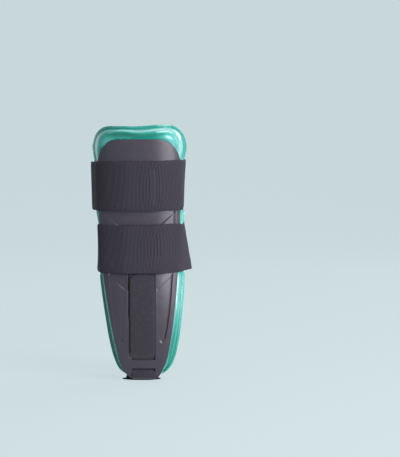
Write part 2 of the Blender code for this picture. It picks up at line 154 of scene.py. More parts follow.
def finish_mesh(name, verts, faces, material, attributes=None):
    mesh = bpy.data.meshes.new(name)
    mesh.from_pydata((np.asarray(verts) * MM).tolist(), [], faces)
    for key, values in (attributes or {}).items():
        layer = mesh.attributes.new(key, "FLOAT", "POINT")
        layer.data.foreach_set("value", np.asarray(values, np.float32))
    mesh.polygons.foreach_set("use_smooth", [True] * len(mesh.polygons))
    mesh.materials.append(material)
    mesh.update()
    made = bpy.data.objects.new(name, mesh)
    bpy.context.scene.collection.objects.link(made)
    return made


def world_points(points, side):
    out = np.array(points, float)
    out[..., 0] += FRAME_SHIFT
    out[..., 1] *= side
    return out


def sheet_body(name, outer, inner, side, material, keep=None, bulge=0.7, steps=4, attributes=None):
    """A closed body between two matching grids of points, with a round edge along every boundary."""
    rows, cols = outer.shape[:2]
    index = np.arange(rows * cols).reshape(rows, cols)
    quads = np.stack([index[:-1, :-1], index[:-1, 1:], index[1:, 1:], index[1:, :-1]], -1)
    quads = quads.reshape(-1, 4)
    if keep is not None:
        quads = quads[keep]
    if side == MEDIAL:
        quads = quads[:, ::-1]
    top, low = world_points(outer, side).reshape(-1, 3), world_points(inner, side).reshape(-1, 3)
    edges = np.concatenate([quads[:, [k, (k + 1) % 4]] for k in range(4)])
    owner = np.tile(np.arange(len(quads)), 4)
    known = set(map(tuple, edges.tolist()))
    rim = [(a, b, f) for (a, b), f in zip(edges.tolist(), owner.tolist()) if (b, a) not in known]
    outward = {}
    for a, b, f in rim:
        p, q, r, s = (top[v] for v in quads[f])
        normal = np.cross(r - p, s - q)
        away = np.cross(top[b] - top[a], normal)
        away /= np.linalg.norm(away) + 1e-12
        outward[a] = outward.get(a, 0) + away
        outward[b] = outward.get(b, 0) + away
    used = np.unique(quads)
    slot_of = {int(v): k for k, v in enumerate(used)}
    count = len(used)
    verts = [top[used], low[used]]
    extra, source = [], []
    ring = {}
    for v, away in outward.items():
        centre, half = (top[v] + low[v]) / 2, (top[v] - low[v]) / 2
        size = np.linalg.norm(half)
        away = away - half * np.dot(away, half) / (size * size)
        away /= np.linalg.norm(away) + 1e-12
        ring[v] = 2 * count + len(extra)
        for k in range(1, steps + 1):
            angle = math.pi * k / (steps + 1)
            extra.append(centre + half * math.cos(angle) + away * size * bulge * math.sin(angle))
            source.append(v)
    if extra:
        verts.append(np.array(extra))
    faces = [[slot_of[v] for v in quad] for quad in quads.tolist()]
    faces += [[slot_of[v] + count for v in reversed(quad)] for quad in quads.tolist()]
    for a, b, _ in rim:
        chain_a = [slot_of[a]] + [ring[a] + k for k in range(steps)] + [slot_of[a] + count]
        chain_b = [slot_of[b]] + [ring[b] + k for k in range(steps)] + [slot_of[b] + count]
        faces += [[chain_b[k], chain_a[k], chain_a[k + 1], chain_b[k + 1]] for k in range(steps + 1)]
    spread = {}
    for key, grid in (attributes or {}).items():
        flat = np.asarray(grid, float).reshape(-1)
        spread[key] = np.concatenate([flat[used], flat[used], flat[source]])
    return finish_mesh(name, np.concatenate(verts), faces, material, spread)


def noise_field(u, v, seed, scale):
    """Smooth repeatable waviness of about unit size, from two octaves of five waves."""
    rng = np.random.default_rng(seed)
    total = np.zeros(np.broadcast(u, v).shape)
    for octave in range(2):
        for _ in range(5):
            angle, phase = rng.uniform(0, 2 * math.pi, 2)
            pitch = scale * rng.uniform(0.7, 1.4) / 2**octave
            wave = np.sin((u * math.cos(angle) + v * math.sin(angle)) * 2 * math.pi / pitch + phase)
            total = total + wave / 5 / 2**octave
    return total


# Materials


class Surface:
    """A Principled material and short names for the nodes that feed it."""

    def __init__(self, name, colour, rough, **values):
        self.material = bpy.data.materials.new(name)
        self.material.use_nodes = True
        self.tree = self.material.node_tree
        self.shader = self.tree.nodes["Principled BSDF"]
        self.shader.inputs["Base Color"].default_value = (*colour, 1.0)
        self.shader.inputs["Roughness"].default_value = rough
        for key, value in values.items():
            self.shader.inputs[key.replace("_", " ")].default_value = value
        self.place = self.tree.nodes.new("ShaderNodeTexCoord").outputs["Object"]
        self.normal = None

    def node(self, kind, **settings):
        made = self.tree.nodes.new(kind)
        for key, value in settings.items():
            setattr(made, key, value)
        return made

    def feed(self, socket, value):
        if isinstance(value, bpy.types.NodeSocket):
            self.tree.links.new(value, socket)
        else:
            socket.default_value = value

    def math(self, operation, a, b=0.0, c=0.0):
        made = self.node("ShaderNodeMath", operation=operation)
        for socket, value in zip(made.inputs, (a, b, c)):
            self.feed(socket, value)
        return made.outputs[0]

    def noise(self, scale, detail=2.0, stretch=None):
        made = self.node("ShaderNodeTexNoise")
        made.inputs["Scale"].default_value = scale
        made.inputs["Detail"].default_value = detail
        place = self.place
        if stretch:
            mapping = self.node("ShaderNodeMapping")
            mapping.inputs["Scale"].default_value = stretch
            self.feed(mapping.inputs["Vector"], place)
            place = mapping.outputs[0]
        self.feed(made.inputs["Vector"], place)
        return made.outputs["Fac"]

    def span(self, value, low, high, to_low, to_high):
        made = self.node("ShaderNodeMapRange")
        for key, number in zip(("From Min", "From Max", "To Min", "To Max"), (low, high, to_low, to_high)):
            made.inputs[key].default_value = number
        self.feed(made.inputs["Value"], value)
        return made.outputs[0]

    def attribute(self, name):
        made = self.node("ShaderNodeAttribute", attribute_name=name)
        return made.outputs["Fac"]

    def wave(self, along, pitch):
        """A cosine of a length attribute in millimetres, from 0 to 1."""
        turned = self.math("MULTIPLY", along, 2 * math.pi / pitch)
        return self.math("MULTIPLY_ADD", self.math("COSINE", turned), 0.5, 0.5)

    def colours(self, value, first, second):
        made = self.node("ShaderNodeMix", data_type="RGBA")
        self.feed(made.inputs[0], value)
        made.inputs[6].default_value = (*first, 1.0)
        made.inputs[7].default_value = (*second, 1.0)
        self.feed(self.shader.inputs["Base Color"], made.outputs[2])

    def ramp(self, value, *stops):
        """Base colour through evenly spaced stops."""
        made = self.node("ShaderNodeValToRGB")
        for k, stop in enumerate(stops):
            share = k / (len(stops) - 1)
            element = made.color_ramp.elements[k] if k < 2 else made.color_ramp.elements.new(share)
            element.position, element.color = share, (*stop, 1.0)
        self.feed(made.inputs["Fac"], value)
        self.feed(self.shader.inputs["Base Color"], made.outputs["Color"])

    def rough(self, value, low, high):
        self.feed(self.shader.inputs["Roughness"], self.span(value, 0.3, 0.7, low, high))

    def bump(self, height, distance, strength=1.0):
        made = self.node("ShaderNodeBump")
        made.inputs["Strength"].default_value = strength
        made.inputs["Distance"].default_value = distance * MM
        self.feed(made.inputs["Height"], height)
        if self.normal is not None:
            self.feed(made.inputs["Normal"], self.normal)
        self.normal = made.outputs[0]
        self.feed(self.shader.inputs["Normal"], self.normal)


def shell_material():
    made = Surface("shell_plastic", (0.036, 0.033, 0.040), 0.36)
    made.colours(made.noise(60.0, 3.0), (0.029, 0.024, 0.035), (0.039, 0.032, 0.046))
    made.rough(made.noise(140.0, 4.0), 0.30, 0.40)
    made.bump(made.noise(1800.0, 2.0), 0.04, 0.35)
    made.bump(made.noise(45.0, 1.0), 0.25, 0.12)
    return made.material


def gel_material():
    made = Surface("gel", (0.14, 0.66, 0.56), 0.16, Transmission_Weight=0.45, IOR=1.42,
                   Coat_Weight=0.5, Coat_Roughness=0.08)
    # The pad's tone carries painted highlights and painted shade, plus random variation.
    tone_and_painted_light = made.math("MULTIPLY_ADD", made.noise(60.0, 3.0), 0.16, made.attribute("tone_and_painted_light"))
    made.ramp(made.math("SUBTRACT", tone_and_painted_light, 0.08),
              (0.002, 0.20, 0.14), (0.014, 0.36, 0.29), (0.12, 0.53, 0.48), (0.36, 0.62, 0.63))
    made.rough(made.noise(90.0, 3.0), 0.12, 0.24)
    made.bump(made.noise(70.0, 2.0), 0.5, 0.25)
    made.bump(made.noise(500.0, 2.0), 0.05, 0.3)
    return made.material


def elastic_material():
    made = Surface("elastic", (0.030, 0.028, 0.036), 0.85, Specular_IOR_Level=0.35)
    along, up = made.attribute("along"), made.attribute("up")
    cord = made.wave(along, 1.25)
    weft = made.wave(up, 0.62)
    fuzz = made.noise(900.0, 2.0)
    mixed = made.math("MULTIPLY_ADD", cord, 0.55, made.math("MULTIPLY", fuzz, 0.45))
    made.colours(mixed, (0.009, 0.0075, 0.0125), (0.034, 0.029, 0.042))
    made.rough(fuzz, 0.76, 0.92)
    made.bump(cord, 0.30, 0.9)
    made.bump(weft, 0.08, 0.6)
    made.bump(fuzz, 0.08, 0.5)
    return made.material


def loop_material():
    made = Surface("loop_webbing", (0.034, 0.032, 0.040), 0.95, Sheen_Weight=0.25, Sheen_Roughness=0.45)
    fuzz = made.noise(1100.0, 4.0)
    clump = made.noise(420.0, 3.0)
    made.colours(made.math("MULTIPLY", fuzz, clump), (0.008, 0.007, 0.011), (0.044, 0.038, 0.054))
    made.bump(clump, 0.35, 0.6)
    made.bump(fuzz, 0.22, 0.8)
    return made.material


def hook_material():
    made = Surface("hook", (0.014, 0.014, 0.017), 0.6)
    rows, line = made.wave(made.attribute("along"), 1.0), made.wave(made.attribute("up"), 0.8)
    dots = made.math("MULTIPLY", rows, line)
    made.colours(dots, (0.008, 0.008, 0.010), (0.030, 0.030, 0.035))
    made.rough(made.noise(500.0, 2.0), 0.5, 0.75)
    made.bump(dots, 0.5, 1.0)
    return made.material


def knit_material():
    made = Surface("heel_knit", (0.014, 0.013, 0.016), 0.95, Specular_IOR_Level=0.2)
    pitch = 1.4
    rows, stitches = made.wave(made.attribute("along"), pitch), made.wave(made.attribute("up"), pitch)
    mesh = made.math("MULTIPLY", rows, stitches)
    made.colours(mesh, (0.006, 0.005, 0.007), (0.018, 0.016, 0.021))
    made.rough(made.noise(600.0, 2.0), 0.82, 0.95)
    made.bump(mesh, 0.25, 0.8)
    return made.material


def fastener_material():
    made = Surface("fastener", (0.016, 0.015, 0.018), 0.8)
    grain, clump = made.noise(1400.0, 2.0), made.noise(500.0, 3.0)
    made.colours(grain, (0.008, 0.007, 0.010), (0.034, 0.031, 0.038))
    made.rough(clump, 0.7, 0.9)
    made.bump(grain, 0.3, 0.8)
    return made.material


SHELL, GEL, ELASTIC = shell_material(), gel_material(), elastic_material()
LOOP, HOOK, KNIT, FASTENER = loop_material(), hook_material(), knit_material(), fastener_material()


def use(obj, body, slot, *nodes):
    """Rides on a body and stands for CAD nodes; the slot is not used."""
    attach(obj, body)
    if nodes:
        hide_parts(*nodes)
    return obj


# Shells


def shell_edges(z):
    inset = 0.9 * corner(z, SHELL_TOP, SHELL_CORNER, 1)
    return smooth(SHELL_REAR, z) + inset, smooth(SHELL_FRONT, z) - inset


def mirrored(points, about):
    return [(2 * about - x, z) for x, z in reversed(points)]


LOWER_POCKET = [(30.9, 107.2), (29.7, 90.0), (28.1, 72.8), (25.6, 54.0), (23.2, 43.5), (20.6, 40.0),
                (18.4, 41.6), (17.2, 48.9), (15.7, 93.6)]
UPPER_POCKET = [(33.2, 171.0), (33.2, 140.0), (31.0, 124.0), (26.0, 116.0), (19.5, 118.0), (17.2, 156.0)]
LOWER_MIDDLE, UPPER_MIDDLE = -0.6, -2.6
LOWER_FUNNEL = [(31.6, 132.0), (31.6, 107.8), (15.6, 93.4), (-16.8, 93.4), (-32.8, 107.8), (-32.8, 132.0)]
UPPER_FUNNEL = [(33.4, 192.0), (33.4, 170.6), (17.0, 155.8), (-22.2, 155.8), (-38.6, 170.6), (-38.6, 192.0)]
# Line, then depth.
GROOVES = [(LOWER_POCKET[:5], 0.8), ([(30.9, 107.2), (15.7, 93.6)], 0.3),
           ([(33.2, 171.0), (33.2, 140.0), (31.0, 124.0)], 0.8), ([(-12.6, 106.0), (-12.6, 66.0)], 0.9),
           ([(-20.9, 42.2), (-18.9, 40.8), (-16.8, 40.8), (-15.0, 42.0)], 0.8)]
CHANNEL = [(-13.3, 24.0), (-13.3, 118.0), (13.7, 118.0), (13.7, 24.0)]
CHANNEL_DEPTH, CHANNEL_SOFT, GROOVE_SPREAD = 0.55, 0.6, 0.5
# Outline, depth, and half the width of its sloping wall.
RECESSES = [
    (LOWER_POCKET, 1.4, 0.6),
    (mirrored(LOWER_POCKET, LOWER_MIDDLE), 0.3, 0.8),
    (LOWER_FUNNEL, 1.2, 0.5),
    (UPPER_POCKET, 0.4, 0.6),
    (mirrored(UPPER_POCKET, UPPER_MIDDLE), 0.3, 0.8),
    (UPPER_FUNNEL, 1.4, 0.5),
]
RIM_RECESS, INSIDE_SHARE, SHELL_BULGE = 0.9, 0.7, 0.55
SLOT_X = (STRAP_CENTRE - 12.4, STRAP_CENTRE + 12.2)
WINDOW_Z, SLOT_Z = (5.2, 13.4), (21.4, 27.6)


def columns(*spans):
    """Grid positions, from (start, end, step) spans that join up."""
    found = []
    for start, end, step in spans:
        count = max(1, round(abs(end - start) / step))
        found += list(start + (end - start) * np.arange(count) / count)
    return np.array(found + [spans[-1][1]])


def shell_relief(x, z):
    """The moulded recesses and the strap's channel, as a distance below the plain face."""
    relief = np.zeros_like(x)
    for points, depth, soft in RECESSES:
        relief = np.maximum(relief, depth * ease(soft, -soft, polygon_distance(x, z, points)))
    for points, depth in GROOVES:
        away = polygon_distance(x, z, points + points[::-1])
        relief = relief + depth * np.exp(-((away / GROOVE_SPREAD) ** 2))
    return relief + CHANNEL_DEPTH * ease(CHANNEL_SOFT, -CHANNEL_SOFT, polygon_distance(x, z, CHANNEL))


def shell_grid():
    """Positions over the shell's face, with a line on every edge of the window and the slot."""
    heights = columns((SHELL_BOTTOM, WINDOW_Z[0], 0.6), (*WINDOW_Z, 0.8), (WINDOW_Z[1], SLOT_Z[0], 0.8),
                      (*SLOT_Z, 0.8), (SLOT_Z[1], 36.0, 0.9), (36.0, 46.0, 0.7), (46.0, 88.0, 1.2),
                      (88.0, 110.0, 0.75), (110.0, 156.0, 1.6), (156.0, 174.0, 0.75),
                      (174.0, 216.0, 1.6), (216.0, 238.0, 1.1), (238.0, SHELL_TOP, 0.5))
    middle = columns((SLOT_X[0], SLOT_X[1], 0.8))
    rear, front = shell_edges(heights)
    rear_share = np.linspace(0, 1, 60)[:-1]
    front_share = np.linspace(0, 1, 60)[1:]
    low = np.minimum(rear, SLOT_X[0] - 0.4)
    high = np.maximum(front, SLOT_X[1] + 0.4)
    x = np.concatenate([
        low[:, None] + (SLOT_X[0] - low)[:, None] * rear_share,
        np.repeat(middle[None], len(heights), 0),
        SLOT_X[1] + (high - SLOT_X[1])[:, None] * front_share,
    ], axis=1)
    return x, np.repeat(heights[:, None], x.shape[1], 1)


def in_opening(x, z):
    inside = (x > SLOT_X[0]) & (x < SLOT_X[1])
    window = (z > WINDOW_Z[0]) & (z < WINDOW_Z[1])
    slot = (z > SLOT_Z[0]) & (z < SLOT_Z[1])
    return inside & (window | slot)


def make_shell(side):
    x, z = shell_grid()
    relief = shell_relief(x, z)
    sweep = RIM_RECESS * ease(9.0, 2.0, z) * ease(13.5, 11.5, np.abs(x - STRAP_CENTRE))
    outer = on_face(x, z, -relief - sweep)
    inner = on_face(x, z, -SHELL_THICK - INSIDE_SHARE * relief)
    cell_x = (x[:-1, :-1] + x[1:, 1:]) / 2
    cell_z = (z[:-1, :-1] + z[1:, 1:]) / 2
    keep = ~in_opening(cell_x, cell_z).reshape(-1)
    name = WORD[side]
    shell = sheet_body(f"{name}_moulded_shell", outer, inner, side, SHELL, keep, bulge=SHELL_BULGE)
    return use(shell, f"{name}_side", "shell_plastic", f"{name}_shell")


# Gel pads


PAD_SEED = {LATERAL: 11, MEDIAL: 12}
PAD_WIDTH = 85.0
PAD_SEAT, PAD_FULL, PAD_LIP = 5.6, 8.6, 0.8
FLANGE_RISE, ROLL_RISE, FOLD_DEPTH = 0.35, 3.6, 1.5
WELD_PLACE, WELD_DEPTH = 2.1, 0.5


def pad_edges(z):
    inset = 0.9 * (corner(z, PAD_TOP, PAD_CORNER, 1) + corner(z, PAD_BOTTOM, PAD_FOOT, -1))
    return smooth(PAD_REAR, z) + inset, smooth(PAD_FRONT, z) - inset


def outline(edges, low, high):
    z = low + (high - low) * (1 - np.cos(np.linspace(0, math.pi, 90))) / 2
    rear, front = edges(z)
    return list(zip(front, z)) + list(zip(rear[::-1], z[::-1]))


def gel_tone_and_painted_light(x, z, inward, beyond, wavy):
    """How pale the gel looks, 0 to 1: painted highlights on the rolls and beside the shell's edge, painted
    shade in the folds, painted light and shade that change across the sides, paler between the bands, a deep
    welded line and random waviness.
    """
    upper = ease(205.0, 228.0, z)
    tone_and_painted_light = 0.42 + 0.10 * wavy
    # Painted highlight along the crest of the top roll.
    tone_and_painted_light = tone_and_painted_light + 0.48 * np.exp(-((inward - 4.6 - 0.5 * wavy) / 1.3) ** 2) * upper
    # Painted shade in the fold below the top roll, except toward the toes.
    tone_and_painted_light = tone_and_painted_light - 0.42 * np.exp(-((inward - 8.6 - wavy) / 2.2) ** 2) * upper * ease(30.0, 14.0, x)
    # Painted light: the toe side of the top edge is paler.
    tone_and_painted_light = tone_and_painted_light + 0.30 * ease(10.0, 32.0, x) * upper * ease(0.8, 3.2, inward)
    # Painted light on the heel side of the top roll.
    tone_and_painted_light = tone_and_painted_light + 0.30 * ease(-22.0, -38.0, x) * upper * ease(4.0, 8.0, inward)
    tone_and_painted_light = tone_and_painted_light - 0.34 * np.exp(-((inward - 2.2) / 0.45) ** 2)
    lower = ease(112.0, 104.0, z)
    # Painted highlight in a streak just outside the shell's edge, below the bands.
    tone_and_painted_light = tone_and_painted_light + 0.45 * np.exp(-((beyond - 0.7) / 1.0) ** 2) * lower
    # Painted shade in a darker line a little further out, low down.
    tone_and_painted_light = tone_and_painted_light - 0.34 * np.exp(-((beyond - 3.0) / 1.1) ** 2) * lower * ease(88.0, 52.0, z)
    # Painted light: paler toward the toes, below the bands.
    tone_and_painted_light = tone_and_painted_light + 0.34 * ease(15.0, 28.0, x) * lower * ease(40.0, 95.0, z)
    # Painted shade: darker toward the heel, beyond the shell's edge.
    tone_and_painted_light = tone_and_painted_light - 0.30 * ease(-15.0, -28.0, x) * lower * ease(1.4, 2.4, beyond)
    # Paler between the two bands.
    between = ease(176.0, 170.0, z) * ease(152.0, 158.0, z)
    return np.clip(tone_and_painted_light + 0.30 * between, 0.0, 1.0)


def pad_grid():
    """Positions over the pad, close together near its edges."""
    near = [0.0, 0.6, 1.2, 1.8, 2.4, 3.0, 3.7, 4.4, 5.2, 6.0, 7.0, 8.0, 9.2, 10.6, 12.2, 14.0]
    top = near + [15.5, 17.0, 18.5, 20.0, 21.5, 23.0, 24.5]
    heights = np.array([PAD_BOTTOM + e for e in near]
                       + list(np.arange(PAD_BOTTOM + 16.0, PAD_TOP - 26.0, 2.2))
                       + [PAD_TOP - e for e in reversed(top)])
    rear, front = pad_edges(heights)
    steps = np.array(near) / PAD_WIDTH
    between = np.linspace(near[-1] / PAD_WIDTH, 1 - near[-1] / PAD_WIDTH, 32)[1:-1]
    share = np.concatenate([steps, between, 1 - steps[::-1]])
    x = rear[:, None] + (front - rear)[:, None] * share
    return x, np.repeat(heights[:, None], x.shape[1], 1)


def top_dip(x, z):
    """How far the pad's top edge falls below level: a dip in the middle, higher toward the toes."""
    dip = -0.9 * ease(0.0, 34.0, x) * ease(225.0, PAD_TOP, z)
    dip += 1.1 * np.exp(-((x + 8.0) / 14.0) ** 2) * ease(200.0, PAD_TOP, z)
    dip += 0.7 * ease(-14.0, -30.0, x) * ease(200.0, PAD_TOP, z)
    return dip


def make_pad(side):
    x, z = pad_grid()
    inward = np.maximum(-polygon_distance(x, z, outline(pad_edges, PAD_BOTTOM, PAD_TOP)), 0.0)
    beyond = polygon_distance(x, z, outline(shell_edges, SHELL_BOTTOM, SHELL_TOP))
    wavy = noise_field(x, z, PAD_SEED[side], 34.0)
    body = ease(2.0, 9.0, inward + 0.5 * wavy)
    flange = FLANGE_RISE * ease(1.9, 1.2, inward)
    free = ease(-2.0, 4.5, beyond)
    crest = free * (ROLL_RISE + 0.7 * wavy) * ease(1.6, 6.0, inward)
    valley = free * FOLD_DEPTH * np.exp(-((inward - 11.0 - 1.2 * wavy) / 2.2) ** 2)
    weld = WELD_DEPTH * np.exp(-((inward - WELD_PLACE) / 0.5) ** 2)
    back = -PAD_SEAT + 1.0 * body + crest - valley - weld + flange
    full = ease(0.0, 20.0, inward) * 0.35 + 0.65 * np.sqrt(np.clip(inward / 16.0, 0, 1))
    fill = PAD_LIP + full * (PAD_FULL + 0.35 * wavy) + 1.0 * body
    front = np.minimum(back, -5.0) - fill - crest * 0.15
    outer, inner = straight_in(x, z, back), straight_in(x, z, front)
    outer[..., 2] -= top_dip(x, z)
    inner[..., 2] -= top_dip(x, z)
    name = WORD[side]
    # The gel's tone carries painted highlights and painted shade.
    tone_and_painted_light = gel_tone_and_painted_light(x, z, inward, beyond, wavy)
    pad = sheet_body(f"{name}_gel_pad", outer, inner, side, GEL, bulge=0.8, attributes={"tone_and_painted_light": tone_and_painted_light})
    use(pad, f"{name}_side", "gel", f"{name}_pad_back_film", f"{name}_pad_gel", f"{name}_pad_front_film")
    return pad


# Bands

# Each lift is (x where it starts, x where it is full, amount) for the band's upper or lower edge.
BANDS = {
    "upper": {"low": 173.0, "high": 221.4, "rear": [(172, -50.9), (222, -52.2)],
              "front": [(172, 39.2), (222, 42.8)], "over": 1.5,
              "top": [(8, 38, 1.6), (-20, -45, -0.3)], "bottom": [(10, 40, 0.7)]},
    "lower": {"low": 110.6, "high": 157.4, "rear": [(109, -45.9), (158, -41.8)],
              "front": [(109, 50.3), (158, 40.8)], "over": 2.1,
              "top": [(2, 30, 1.7), (33, 45, -0.9), (-25, -42, 0.8)], "bottom": [(20, 50, 1.6)]},
}
BAND_THICK, BAND_AT_EDGE = 1.5, 0.55
FLANK_SHARE, FLANK_TURN, FOLD = 0.62, 0.75, 0.35
SEAM, TIP, UNDER_START = 0.25, 0.80, 0.42
UNDERLAP = 2.9
CORD_PITCH, CORD_BOW = 2.9, 5.0
SELVEDGE_WIDTH, SELVEDGE_THINNER = 2.2, 0.25
HOOK_THICK, HOOK_INSET, HOOK_MARGIN = 0.8, -1.0, 3.0
SEAM_GAP = 0.004
OUTER_RIBS, INNER_RIBS, END_RIBS = 0.17, 0.08, {"front": 0.12, "rear": 0.0}


def straight(table, z):
    (z0, v0), (z1, v1) = table
    return v0 + (v1 - v0) * (np.asarray(z, float) - z0) / (z1 - z0)


def band_offset(band, x):
    over = BANDS[band]["over"]
    return over + (BAND_AT_EDGE - over) * ease(15.0, 31.0, np.abs(x - STRAP_CENTRE))


def flank(band, front, q, z, offset=0.0):
    """Points (x, depth) of a band's inner face from the shell's edge, q 0, to the loop's apex, q 1."""
    q, z = np.broadcast_arrays(np.asarray(q, float), np.asarray(z, float))
    sign = 1 if front else -1
    x = smooth(SHELL_FRONT if front else SHELL_REAR, z)
    start = on_face(x, z, np.full(z.shape, BAND_AT_EDGE))[..., :2]
    normal = face_normal(x, z)
    along = np.stack([FOLD * sign * normal[..., 1], -np.abs(normal[..., 0])], -1)
    along /= np.linalg.norm(along, axis=-1, keepdims=True)
    apex = straight(BANDS[band]["front" if front else "rear"], z)
    end = np.stack([apex, np.zeros_like(apex)], -1)
    reach = np.linalg.norm(end - start, axis=-1, keepdims=True)
    first, last = along * reach * FLANK_SHARE, reach * np.array([0.0, -FLANK_TURN])

    def at(t):
        t = t[..., None]
        return ((2 * t**3 - 3 * t**2 + 1) * start + (t**3 - 2 * t**2 + t) * first
                + (3 * t**2 - 2 * t**3) * end + (t**3 - t**2) * last)

    ahead = at(np.minimum(q + 0.02, 1.0)) - at(np.maximum(q - 0.02, 0.0))
    outward = np.stack([-ahead[..., 1], ahead[..., 0]], -1) * sign
    outward /= np.linalg.norm(outward, axis=-1, keepdims=True)
    return at(q) + outward * np.asarray(offset, float)[..., None], outward


def lifted(spec, x, up):
    """The height of a place on a band, whose edges are not quite level."""
    share = (up - spec["low"]) / (spec["high"] - spec["low"])
    top = sum(amount * ease(0, 1, (x - start) / (full - start)) for start, full, amount in spec["top"])
    bottom = sum(amount * ease(0, 1, (x - start) / (full - start)) for start, full, amount in spec["bottom"])
    return up + share * top + (1 - share) * bottom


def strip(name, band, lines, material, thick, margin=0.0, ribs=0.0):
    """A strip of fabric along stations, each giving points (x, y) and outward (x, y) for a height."""
    spec = BANDS[band]
    heights = np.linspace(spec["low"] + margin, spec["high"] - margin, 34)
    points = np.stack([line(heights)[0] for line in lines], 1)
    outward = np.stack([line(heights)[1] for line in lines], 1)
    middle = points[len(heights) // 2]
    along = np.concatenate([[0], np.cumsum(np.linalg.norm(np.diff(middle, axis=0), axis=1))])
    along = np.repeat(along[None], len(heights), 0)
    up = np.repeat(heights[:, None], len(lines), 1)
    z = lifted(spec, points[..., 0], up)
    middle_share = 2 * (up - spec["low"]) / (spec["high"] - spec["low"]) - 1
    along = along + CORD_BOW * ease(-16.0, 42.0, points[..., 0]) * (1 - middle_share**2)
    corrugation = ribs * np.cos(along * 2 * math.pi / CORD_PITCH) * ease(-7.0, 16.0, points[..., 0])
    selvedge = SELVEDGE_THINNER * (ease(SELVEDGE_WIDTH, 0.4, up - spec["low"])
                                   + ease(SELVEDGE_WIDTH, 0.4, spec["high"] - up))
    outer = np.concatenate([points + outward * (thick + corrugation - selvedge)[..., None], z[..., None]], -1)
    inner = np.concatenate([points, z[..., None]], -1)
    flat = {"along": along, "up": up}
    return sheet_body(name, outer, inner, MEDIAL, material, bulge=0.8, steps=3, attributes=flat)


def flank_line(band, front, q, side, offset=0.0):
    def line(z):
        point, outward = flank(band, front, q, z, np.full(z.shape, offset))
        scale = np.array([1.0, side])
        return point * scale, outward * scale

    return line


def shell_line(band, share, side):
    def line(z):
        rear, front = smooth(SHELL_REAR, z), smooth(SHELL_FRONT, z)
        x = rear + (front - rear) * share
        point = on_face(x, z, band_offset(band, x))[..., :2]
        outward = face_normal(x, z)[..., :2]
        outward = outward / np.linalg.norm(outward, axis=-1, keepdims=True)
        scale = np.array([1.0, side])
        return point * scale, outward * scale

    return line


def make_bands():
    for band in BANDS:
        make_outer_band(band)
        for word in ("front", "rear"):
            make_strap_end(band, word)
        make_inner_band(band)


def make_outer_band(band):
    across = [shell_line(band, s, -1) for s in np.linspace(0, 1, 170)[1:-1]]
    rear = [flank_line(band, False, q, -1) for q in np.linspace(SEAM - SEAM_GAP, 0, 16)]
    front = [flank_line(band, True, q, -1) for q in np.linspace(0, SEAM - SEAM_GAP, 16)]
    lines = (rear + across + front)[::-1]
    outer = strip(f"{band}_strap_outer", band, lines, ELASTIC, BAND_THICK, ribs=OUTER_RIBS)
    use(outer, "lateral_side", "elastic", f"{band}_band_lateral")


def make_strap_end(band, word):
    """The end that peels off, with the hook patch inside it."""
    key, is_front = f"{band}_{word}", word == "front"

    def lines(first, last, count, offset=0.0):
        stations = np.linspace(first, last, count)
        if is_front:
            stations = stations[::-1]
        return [flank_line(band, is_front, q, -1, offset) for q in stations]

    tab = strip(f"{key}_strap_end", band, lines(SEAM + SEAM_GAP, TIP, 44), ELASTIC, BAND_THICK,
                ribs=END_RIBS[word])
    attach_end(tab, f"{key}_tab")
    hook = strip(f"{key}_hook_patch", band, lines(UNDER_START, TIP - 0.02, 14, HOOK_INSET), HOOK,
                 HOOK_THICK, HOOK_MARGIN)
    attach_end(hook, f"{key}_hook")


def attach_end(obj, node):
    """Bakes a strap end's placement and hides the CAD node it stands for."""
    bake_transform(obj)
    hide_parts(node)


def make_inner_band(band):
    """The medial half, whose ends pass the apexes and lie under the closure ends."""

    def run(is_front):
        under = [flank_line(band, is_front, q, -1, -UNDERLAP) for q in np.linspace(UNDER_START, 1.0, 26)[:-1]]
        near = []
        for q in np.linspace(1.0, 0.0, 40):
            shift = -UNDERLAP * float(ease(0.45, 1.0, q))
            near.append(flank_line(band, is_front, q, 1, shift))
        return under + near

    across = [shell_line(band, s, 1) for s in np.linspace(0, 1, 110)[1:-1]]
    lines = run(False) + across + run(True)[::-1]
    inner = strip(f"{band}_strap_inner", band, lines, ELASTIC, BAND_THICK, ribs=INNER_RIBS)
    use(inner, "medial_side", "elastic", f"{band}_band_medial")


# Heel strap and heel pad


TAB_TOP, TAB_BOTTOM = 109.0, 21.8
TAB_CENTRE, TAB_HALF, TAB_THICK, TAB_CORNER = 0.5, 11.4, 1.35, 7.0
SLOT_SINK = 3.4
WEB_HALF_WIDTH, WEB_HALF_THICK = 11.4, 0.68


def make_heel_tab(side):
    heights = columns((TAB_BOTTOM, 28.0, 0.7), (28.0, 98.0, 1.3), (98.0, TAB_TOP, 0.6))
    pull = corner(heights, TAB_TOP, TAB_CORNER, 1)
    share = np.linspace(-1, 1, 30)
    wobble = 0.12 * np.sin(heights / 5.3) + 0.1 * np.sin(heights / 2.1 + 1.0)
    x = TAB_CENTRE + share * (TAB_HALF - pull + wobble)[:, None]
    z = np.repeat(heights[:, None], x.shape[1], 1)
    sink = ease(30.0, 21.4, z)
    fuzz = noise_field(x, z, 5, 2.6) * 0.10
    outer = on_face(x, z, TAB_THICK + fuzz - SLOT_SINK * sink)
    inner = on_face(x, z, 0.05 - SLOT_SINK * sink)
    name = WORD[side]
    flat = {"along": x, "up": z}
    tab = sheet_body(f"{name}_heel_strap_end", outer, inner, side, LOOP, bulge=0.8, attributes=flat)
    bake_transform(tab)
    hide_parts(f"{name}_heel_tab")
    return tab


def make_loop_patch(side):
    heights = columns((30.0, 112.0, 2.0))
    x = np.linspace(-12.4, 13.0, 14)[None] * np.ones((len(heights), 1))
    z = np.repeat(heights[:, None], x.shape[1], 1)
    name = WORD[side]
    flat = {"along": x, "up": z}
    patch = sheet_body(f"{name}_shell_loop_patch", on_face(x, z, np.full(x.shape, -0.08)),
                       on_face(x, z, np.full(x.shape, -0.5)), side, LOOP, attributes=flat)
    return use(patch, f"{name}_side", "hook", f"{name}_heel_loop_patch")


